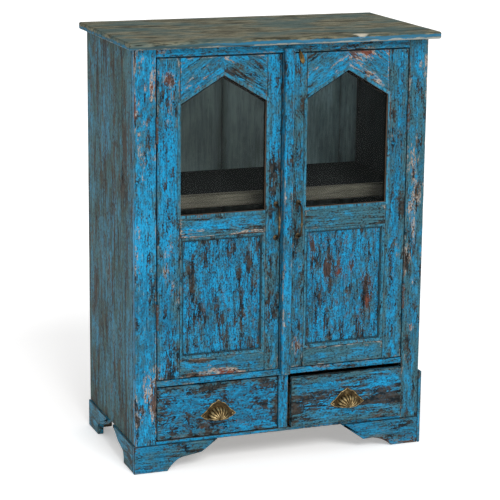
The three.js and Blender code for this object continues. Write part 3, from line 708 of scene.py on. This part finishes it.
for side in ("left", "right"):
    paints = door_finishes[side]
    node = f"{side}_door_panel"
    fit(board(node + "_board", *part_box(node), paints["panel"], dark_wood, choose=back_of_frame,
              radius=0.001, step=0.015), f"{side}_door", "blue_paint", node)
    rail_low, rail_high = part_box(f"{side}_door_lock_rail")
    x0, x1 = rail_low.x - gap, rail_high.x + gap
    z0, z1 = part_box(f"{side}_door_bottom_rail")[1].z, rail_low.z
    # Its steps with an edge value near 1 take the paint's dark arris colour; along the inner edge, next to
    # the panel, that is painted shadow.
    moulding = shaped(rail_low.y, (0.1, 1.6, 1.0), (1.2, 0.6, 0.9), (2.6, 0.4, 0.7), (4.5, 1.4, 0.3),
                      (7.5, 3.8, 0.1), (8.6, 4.7, 1.0), (12.4, 7.8, 0.95), (12.8, 9.6, 1.0), (0.1, 9.6, 1.0))
    fit(sawn(f"{side}_door_panel_moulding", [(x0, z0), (x1, z0), (x1, z1), (x0, z1)], moulding,
             paints["bead"], closed=True), f"{side}_door", "blue_paint")

# ---------------------------------------------------------------------------------------------------------
# Glass: one clear pane in each door, 3 mm thick and a little dusty. It is cut to the pointed arch, lies in a
# rebate of the frame, and is held from behind by thin wooden beads pinned round it.

glass = Finish("old_window_glass")
dust = glass.noise(14.0, (1, 1, 0.6), 5.0, 0.65)
pane_glass = glass.finish(linear(40, 46, 45), 0.06)
clear, dusty = 0.05, 0.06
glass.feed(glass.shader.inputs["Alpha"], dust.step(0.35, 0.8) * dusty + clear)
# Painted shadow: the beads are near-black and show a little inside the opening, 8 mm lower under the arch,
# standing in for the dark band of shade inside the arch.
shadow_dark_bead_wood = old_wood("glazing_bead_painted_shade", "z", (36, 32, 27), (18, 17, 15), shift=91)
for side in ("left", "right"):
    pane = bpy.data.objects[f"{side}_door_glass"]
    pane.data.materials.clear()
    pane.data.materials.append(pane_glass)
    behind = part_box(f"{side}_door_glass")[1].y + gap
    bead = shaped(behind, (-6, 0, 0.0), (1.4, 0, 0.0), (2, 2, 0.1), (1, 8, 0.4), (-6, 8, 0.0))
    fit(sawn(f"{side}_door_glazing_beads", opening_of(side, drop=8 * mm), bead, shadow_dark_bead_wood, closed=True),
        f"{side}_door", "bare_wood")

# ---------------------------------------------------------------------------------------------------------
# Butt hinges: two to a door, each of two iron leaves rolled round a pin, let into the edges of the door and
# the front stile and screwed there. They were painted over long ago and rust shows through.


def old_iron(name):
    """Iron under chipped blue-grey paint, with rust at the chips."""
    f = Finish(name)
    rust = f.noise(160.0, (1, 1, 0.6), 6.0, 0.7)
    color = f.blend(rust.step(0.42, 0.5), linear(58, 98, 116), linear(64, 46, 38))
    color = f.blend(rust.step(0.58, 0.66), color, linear(110, 66, 42))
    return f.finish(color, 0.55, rust, 0.0004, Metallic=0.3)


painted_iron = old_iron("painted_iron")
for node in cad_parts:
    if node.endswith("_leaf"):
        leaf = bpy.data.objects[node]
        leaf.data.materials.clear()
        leaf.data.materials.append(painted_iron)

# ---------------------------------------------------------------------------------------------------------
# Door pulls: a cast brass bow on two turned roses, held by a screw through each rose. The brass has gone
# dark, and only the middle of the bow is rubbed bright.


def old_brass(name, dark, mid, light, polish):
    """Tarnished cast brass. polish: how much brighter it is rubbed where the piece's edge value is high."""
    f = Finish(name)
    cloud = f.noise(70.0, (1, 1, 1), 5.0, 0.62)
    grit = f.noise(420.0, (1, 1, 1), 3.0, 0.6, 4)
    edge = f.attribute("edge")
    color = f.blend((cloud * 0.6 + edge * 0.4).step(0.26, 0.62), linear(*dark), linear(*mid))
    shine = (cloud * 0.6 + edge * polish).step(0.40, 0.60)
    color = f.blend(shine, color, linear(*light))
    return f.finish(color, 0.50 - shine * 0.2, grit, 0.0003, Metallic=0.85)


dark_brass = old_brass("dark_brass", (36, 33, 28), (78, 68, 50), (178, 154, 108), 0.16)


def round_loops(name, centres, sides, frames, radii, edge, finish):
    """A tube through centres, closed at both ends. frames are the two directions of each cross section."""
    points, wear = [], []
    for centre, (a, b), radius, value in zip(centres, frames, radii, edge):
        for angle in np.linspace(0, 2 * math.pi, sides, endpoint=False):
            out = np.array(a) * math.cos(angle) + np.array(b) * math.sin(angle)
            points.append(np.array(centre) + radius * out)
            wear.append(value)
    last = (len(centres) - 1) * sides
    faces = [tuple(range(sides)), tuple(range(last, last + sides))]
    for start in range(0, last, sides):
        for i in range(sides):
            j = (i + 1) % sides
            faces.append((start + i, start + j, start + sides + j, start + sides + i))
    return faced_out(solid(name, points, faces, wear, finish))


def turned(name, x, z, profile, finish, sides=28):
    """A turned piece on an axis along Y. profile is (radius, y, edge) from one end to the other."""
    frames = [((1, 0, 0), (0, 0, 1))] * len(profile)
    return round_loops(name, [(x, y, z) for _, y, _ in profile], sides, frames, [r for r, _, _ in profile],
                       [e for _, _, e in profile], finish)


def joined(name, pieces):
    """One object from several, the first keeping its place."""
    whole = bmesh.new()
    for piece in pieces:
        whole.from_mesh(piece.data)
    whole.to_mesh(pieces[0].data)
    whole.free()
    for piece in pieces[1:]:
        bpy.data.objects.remove(piece)
    pieces[0].name = name
    return pieces[0]


rose_radius, bow_radius, bow_thinning, collar, collar_place = 8 * mm, 3.4, 1.1, 0.7, 0.45
half_count = 20
for side in ("left", "right"):
    node = f"{side}_door_pull"
    low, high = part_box(node)
    x, back = (low.x + high.x) / 2, high.y
    z0, z1 = low.z + rose_radius, high.z - rose_radius
    half, middle = (z1 - z0) / 2, (z0 + z1) / 2
    reach = back - low.y - bow_radius * mm
    centres, frames, radii, edge = [], [], [], []
    for t in np.linspace(-1, 1, 2 * half_count + 1):
        bow = math.cos(t * math.pi / 2) ** 0.42 if abs(t) < 1 else 0
        centres.append((x, back - bow * reach, middle + half * math.sin(t * math.pi / 2) * 0.995))
    for k, centre in enumerate(centres):
        ahead = np.array(centres[min(k + 1, 2 * half_count)]) - np.array(centres[max(k - 1, 0)])
        ahead /= np.linalg.norm(ahead)
        frames.append(((1, 0, 0), tuple(np.cross(ahead, (1, 0, 0)))))
        t = abs(k - half_count) / half_count
        swelling = collar * max(0, 1 - abs(t - collar_place) * 9)
        radii.append((bow_radius - bow_thinning * t + swelling) * mm)
        edge.append(max(0, 1 - t * 1.6))
    rose = shaped(back, (0.1, 0, 0), (7.8, 0, 0), (8, -0.8, 0.6), (7.2, -1.6, 0.9), (5.6, -1.9, 0.1),
                  (4.8, -3.0, 0.8), (3.4, -4.4, 0.3), (0.1, -4.8, 0.2))
    parts = [round_loops(node + "_bow", centres, 14, frames, radii, edge, dark_brass)]
    parts += [turned(node + "_rose", x, z, rose, dark_brass) for z in (z0, z1)]
    fit(joined(node + "_brass", parts), f"{side}_door", "brass", node)

# ---------------------------------------------------------------------------------------------------------
# Turn button: a cast brass leaf with a domed face, rubbed bright in places. One screw holds it to the right
# door's meeting stile. It turns about that screw and rests leaning to the left.

low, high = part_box("turn_button")
screw_x, screw_z, slant = 45 * mm, 1138 * mm, math.radians(17)
tail, leaf_length, leaf_half_width = -16 * mm, 43 * mm, 7 * mm
leaf = []
for t in np.linspace(0, 1, 17):
    width = leaf_half_width * math.sin(math.pi * t ** 0.72) ** 0.8 if 0 < t < 1 else 0
    leaf.append((width, tail + leaf_length * t))
leaf += [(-a, b) for a, b in leaf[-2:0:-1]]
leaf = [(screw_x + a * math.cos(slant) - b * math.sin(slant),
         screw_z + a * math.sin(slant) + b * math.cos(slant)) for a, b in leaf]
button_brass = old_brass("button_brass", (60, 50, 30), (112, 90, 50), (196, 166, 104), 0.14)
rings = shaped(low.y, (2.6, 0.1, 0.6), (1.4, 0.5, 0.8), (0.5, 1.2, 0.4), (0, 1.9, 0.1))
plate = sawn("turn_button_leaf", leaf, [*rings, (0.0, high.y, 0.0)], button_brass, step=0.002)
head = shaped(low.y, (0.1, 0.3, 0), (3.0, 0.3, 0), (2.8, -0.7, 0.8), (1.8, -1.4, 0.9), (0.1, -1.7, 0.6))
screw = turned("turn_button_screw", screw_x, screw_z, head, button_brass)
fit(joined("turn_button_brass", [plate, screw]), "turn_button", "brass", "turn_button")

# ---------------------------------------------------------------------------------------------------------
# Drawers: a painted front 20 mm thick, sides and back of thin dry wood nailed into it, and a loose bottom.
# The right front was scraped harder along the grain and stands 13 mm open.

drawer_paints = {
    "left": blue_paint("left_drawer_paint", "x", dulled=0.42, blotch=0.498, draw=0.85, bare=0.65,
                       cream=0.1, hair=0.5, shift=101),
    "right": blue_paint("right_drawer_paint", "x", dulled=0.50, blotch=0.494, draw=0.12, bare=0.65,
                        cream=0.1, hair=0.6, rust=0.62, grime=1.0, shift=113),
}
dry_wood = old_wood("drawer_wood", "y", (146, 120, 92), (104, 82, 60), dirt=(60, 48, 36), soil=0.3,
                    shift=121)
for side in ("left", "right"):
    node = f"{side}_drawer_front"
    fit(board(node + "_board", *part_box(node), drawer_paints[side], dry_wood, radius=0.0035, step=0.009,
              dents=0.5, choose=back_of_frame, seed=len(side)), f"{side}_drawer", "blue_paint", node)
    for part in ("left_side", "right_side", "back", "floor"):
        node = f"{side}_drawer_{part}"
        fit(board(node + "_board", *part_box(node), dry_wood, radius=0.0012, step=0.03, seed=len(node)),
            f"{side}_drawer", "drawer_wood", node)

# ---------------------------------------------------------------------------------------------------------
# Cup pulls: fluted shells of cast brass on a plate with a pointed ear at each end, screwed on through the
# ears. Dark in the flutes, bright on the ribs.

cup_brass = old_brass("cup_brass", (34, 27, 17), (100, 82, 50), (204, 180, 130), 0.21)
plate_brass = old_brass("plate_brass", (30, 27, 20), (74, 62, 40), (150, 126, 82), 0.12)


def cup(name, x, y, z, finish):
    """The shell, whose flutes spread from the middle of its lip. It has an outer and an inner skin, each a
    net of down rows and across columns, joined along the lip and at the back."""
    width, height, reach, wall, flutes, flute_depth = 31.5 * mm, 32 * mm, 25 * mm, 1.6 * mm, 9, 0.10
    across, down = 109, 16
    points, wear, faces = [], [], []
    for skin, fluted in ((0.0, 1), (wall, 0.6)):
        for v in np.linspace(0, math.pi / 2, down + 1):
            for u in np.linspace(0, math.pi, across):
                rib = abs(math.cos(flutes * u)) ** 0.7 if skin == 0 else 0.5
                swell = 1 - flute_depth * (1 - rib) * math.cos(v) ** 0.5 * fluted
                out = (math.cos(v) ** 0.9 if v < math.pi / 2 else 0) * swell
                forward = math.sin(v) * (0.92 + 0.08 * rib)
                points.append((x + (width - skin) * math.cos(u) * out, y - (reach - skin) * forward,
                               z + (height - skin) * math.sin(u) * out))
                wear.append(rib if skin == 0 else 0)
    sheet = (down + 1) * across
    for layer, way in ((0, 1), (sheet, -1)):
        for j in range(down):
            for a in range(layer + j * across, layer + j * across + across - 1):
                faces.append((a, a + across, a + across + 1, a + 1)[::way])
    for a in range(0, down * across, across):
        for b in (a, a + across - 1):
            faces.append((b, b + across, b + across + sheet, b + sheet))
    faces += [(i, i + 1, i + 1 + sheet, i + sheet) for i in range(across - 1)]
    return faced_out(solid(name, points, faces, wear, finish), merge=True)


right_half = [(12, -3), (30, -4), (41, 0), (52.4, 9), (46, 15), (37, 22), (28, 32), (19, 42), (8, 46)]
plate_shape = [*right_half, (0, 53), *[(-a, b) for a, b in right_half[::-1]]]
lip_z, screw_side, screw_up = 140 * mm, 42 * mm, 8 * mm
for side in ("left", "right"):
    node = f"{side}_cup_pull"
    low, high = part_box(node)
    x, y = (low.x + high.x) / 2, high.y
    outline = [(x + a * mm, lip_z + b * mm) for a, b in plate_shape]
    rings = shaped(y, (2.4, -1.6, 0.3), (1.0, -2.0, 1.0), (0.3, -1.6, 0.8), (0, -0.9, 0.4), (0, 0, 0.0))
    head = shaped(y, (0.1, -1.5, 0), (2.8, -1.5, 0.2), (2.6, -2.6, 0.9), (1.4, -3.3, 0.8), (0.1, -3.5, 0.4))
    parts = [cup(node + "_shell", x, y - 0.2 * mm, lip_z, cup_brass),
             sawn(node + "_plate", outline, rings, plate_brass, step=0.003)]
    parts += [turned(node + "_screw", x + way * screw_side, lip_z + screw_up, head, cup_brass, sides=16)
              for way in (-1, 1)]
    fit(joined(node + "_brass", parts), f"{side}_drawer", "brass", node)

# ---------------------------------------------------------------------------------------------------------
# Nails: rusty iron nails with small domed heads, driven in until the head just stands out of the wood. They
# hold the back planks, the front brackets and the drawer sides.


def nail_tree():
    """Sets a domed head on every point, its top turned to the point's facing direction."""
    tree = bpy.data.node_groups.new("nail_heads", "GeometryNodeTree")
    for name, in_out, kind in (("Points", "INPUT", "Geometry"), ("Head radius", "INPUT", "Float"),
                               ("Head height", "INPUT", "Float"), ("Metal", "INPUT", "Material"),
                               ("Nails", "OUTPUT", "Geometry")):
        tree.interface.new_socket(name, in_out=in_out, socket_type="NodeSocket" + kind)

    def add(kind, settings, sockets):
        node = tree.nodes.new(kind)
        for key, value in settings.items():
            setattr(node, key, value)
        for key, value in sockets.items():
            if isinstance(value, bpy.types.NodeSocket):
                tree.links.new(value, node.inputs[key])
            else:
                node.inputs[key].default_value = value
        return node.outputs

    given = add("NodeGroupInput", {}, {})
    radius, height = given["Head radius"], given["Head height"]
    disc = add("GeometryNodeMeshCone", {}, {"Vertices": 14, "Side Segments": 2, "Radius Top": radius,
                                            "Radius Bottom": radius, "Depth": height})
    dome = add("GeometryNodeMeshUVSphere", {}, {"Segments": 14, "Rings": 8, "Radius": radius})
    squashed = add("GeometryNodeTransform", {}, {"Geometry": dome["Mesh"], "Scale": (1.0, 1.0, 0.35)})
    lift = add("ShaderNodeCombineXYZ", {}, {"Z": height})
    raised = add("GeometryNodeTransform", {}, {"Geometry": squashed["Geometry"],
                                               "Translation": lift["Vector"]})
    head = add("GeometryNodeJoinGeometry", {}, {})
    tree.links.new(disc["Mesh"], head["Geometry"].node.inputs[0])
    tree.links.new(raised["Geometry"], head["Geometry"].node.inputs[0])
    facing = add("GeometryNodeInputNamedAttribute", {"data_type": "FLOAT_VECTOR"}, {"Name": "facing"})
    turn = add("FunctionNodeAlignRotationToVector", {"axis": "Z"}, {"Vector": facing["Attribute"]})
    size = add("FunctionNodeRandomValue", {"data_type": "FLOAT"}, {2: 0.8, 3: 1.1, "Seed": 7})
    spread = add("GeometryNodeInstanceOnPoints", {}, {
        "Points": given["Points"], "Instance": head["Geometry"], "Rotation": turn["Rotation"],
        "Scale": size[1]})
    real = add("GeometryNodeRealizeInstances", {}, {"Geometry": spread["Instances"]})
    metal = add("GeometryNodeSetMaterial", {}, {"Geometry": real["Geometry"], "Material": given["Metal"]})
    add("NodeGroupOutput", {}, {"Nails": metal["Geometry"]})
    return tree


nails = nail_tree()
inputs = {item.name: item.identifier for item in nails.interface.items_tree if item.in_out == "INPUT"}
rusty = Finish("nail_iron")
crust = rusty.noise(700.0, (1, 1, 1), 4.0, 0.65)
rust_color = rusty.blend(crust.step(0.4, 0.6), linear(40, 34, 30), linear(96, 62, 42))
nail_iron = rusty.finish(rust_color, 0.7, crust, 0.0002, Metallic=0.4)


def drive(name, body, slot, spots, radius, height):
    """Nails at spots, each (x, y, z) and the direction its head faces."""
    mesh = bpy.data.meshes.new(name)
    mesh.from_pydata([p for p, _ in spots], [], [])
    facing = mesh.attributes.new("facing", "FLOAT_VECTOR", "POINT")
    facing.data.foreach_set("vector", np.array([d for _, d in spots], np.float32).ravel())
    points = bpy.data.objects.new(name + "_points", mesh)
    scene.collection.objects.link(points)
    modifier = points.modifiers.new("heads", "NODES")
    modifier.node_group = nails
    for key, value in (("Head radius", radius), ("Head height", height), ("Metal", nail_iron)):
        modifier[inputs[key]] = value
    made = bpy.data.meshes.new_from_object(points.evaluated_get(bpy.context.evaluated_depsgraph_get()))
    bpy.data.objects.remove(points)
    piece = bpy.data.objects.new(name, made)
    scene.collection.objects.link(piece)
    made.polygons.foreach_set("use_smooth", np.ones(len(made.polygons), bool))
    return fit(piece, body, slot)


plank_inset, driven, nailed_at = 14 * mm, 0.2 * mm, (0.086, 0.252, 0.72, 1.168)
spots = []
for left, right in zip(joints, joints[1:]):
    for x in (left + plank_inset, right - plank_inset):
        spots += [((x, back_high.y - 2 * driven, z), (0, 1, 0)) for z in nailed_at]
drive("back_nails", "case", "iron", spots, radius=0.0028, height=0.0006)

left_nails = [(14, 18), (14, 62), (90, 66), (170, 66)]
right_nails = [(14, 18), (14, 62), (80, 62), (160, 60)]
spots = []
for side, corner, way, places in (("left", left_edge - proud_side, 1, left_nails),
                                  ("right", right_edge, -1, right_nails)):
    face_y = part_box(f"bracket_front_{side}")[0].y + driven
    spots += [((corner + way * a * mm, face_y, b * mm), (0, -1, 0)) for a, b in places]
drive("bracket_nails", "case", "iron", spots, radius=0.0022, height=0.0004)

for side in ("left", "right"):
    low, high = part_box(f"{side}_drawer_left_side")
    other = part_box(f"{side}_drawer_right_side")[1].x
    spots = [((x, low.y + 8 * mm, z), (way, 0, 0))
             for x, way in ((low.x + driven, -1), (other - driven, 1)) for z in (0.105, 0.145, 0.19)]
    drive(f"{side}_drawer_nails", f"{side}_drawer", "iron", spots, radius=0.0024, height=0.0004)

# ---------------------------------------------------------------------------------------------------------
# Studio: a wide pale floor, an even pale sky and one soft sun from in front. The camera stands to the left
# of the cabinet, a little above it.

floor_mesh = bpy.data.meshes.new("studio_floor")
floor_reach, floor_z = 30.0, -0.001
floor_corners = [(a * floor_reach, b * floor_reach, floor_z) for a, b in ((-1, -1), (1, -1), (1, 1), (-1, 1))]
floor_mesh.from_pydata(floor_corners, [], [(0, 1, 2, 3)])
floor = bpy.data.objects.new("studio_floor", floor_mesh)
scene.collection.objects.link(floor)
pale = Finish("studio_white")
pale.shader.inputs["Emission Strength"].default_value = 0.34
pale.shader.inputs["Emission Color"].default_value = (1, 1, 1, 1)
near_white = pale.blend(pale.noise(0.5), linear(250, 250, 250), linear(246, 246, 246))
floor_mesh.materials.append(pale.finish(near_white, 0.9))

sky = bpy.data.worlds.new("studio_sky")
scene.world = sky
sky.use_nodes = True
sky.node_tree.nodes["Background"].inputs["Color"].default_value = (1, 1, 1, 1)
sky.node_tree.nodes["Background"].inputs["Strength"].default_value = 0.62
sun = bpy.data.lights.new("soft_sun", "SUN")
sun.energy = 1.7
sun.angle = math.radians(25)
sun_object = bpy.data.objects.new("soft_sun", sun)
sun_object.rotation_euler = (math.radians(50), 0, math.radians(4))
scene.collection.objects.link(sun_object)
scene.view_settings.view_transform = "Standard"

azimuth, elevation, roll = (math.radians(a) for a in (20.58, 13.57, 0.59))
eye, focal_length = (-1.910, -5.034, 1.857), 138.6
forward = Vector((math.sin(azimuth) * math.cos(elevation), math.cos(azimuth) * math.cos(elevation),
                  -math.sin(elevation)))
level = Vector((math.cos(azimuth), -math.sin(azimuth), 0))
upright = level.cross(forward)
across = level * math.cos(roll) + upright * math.sin(roll)
upright = upright * math.cos(roll) - level * math.sin(roll)
lens = bpy.data.cameras.new("studio_camera")
lens.lens, lens.sensor_width, lens.clip_end = focal_length, 36, 100
camera = bpy.data.objects.new("studio_camera", lens)
turn = Matrix((across, upright, -forward)).transposed().to_4x4()
camera.matrix_world = Matrix.Translation(eye) @ turn
scene.collection.objects.link(camera)
scene.camera = camera
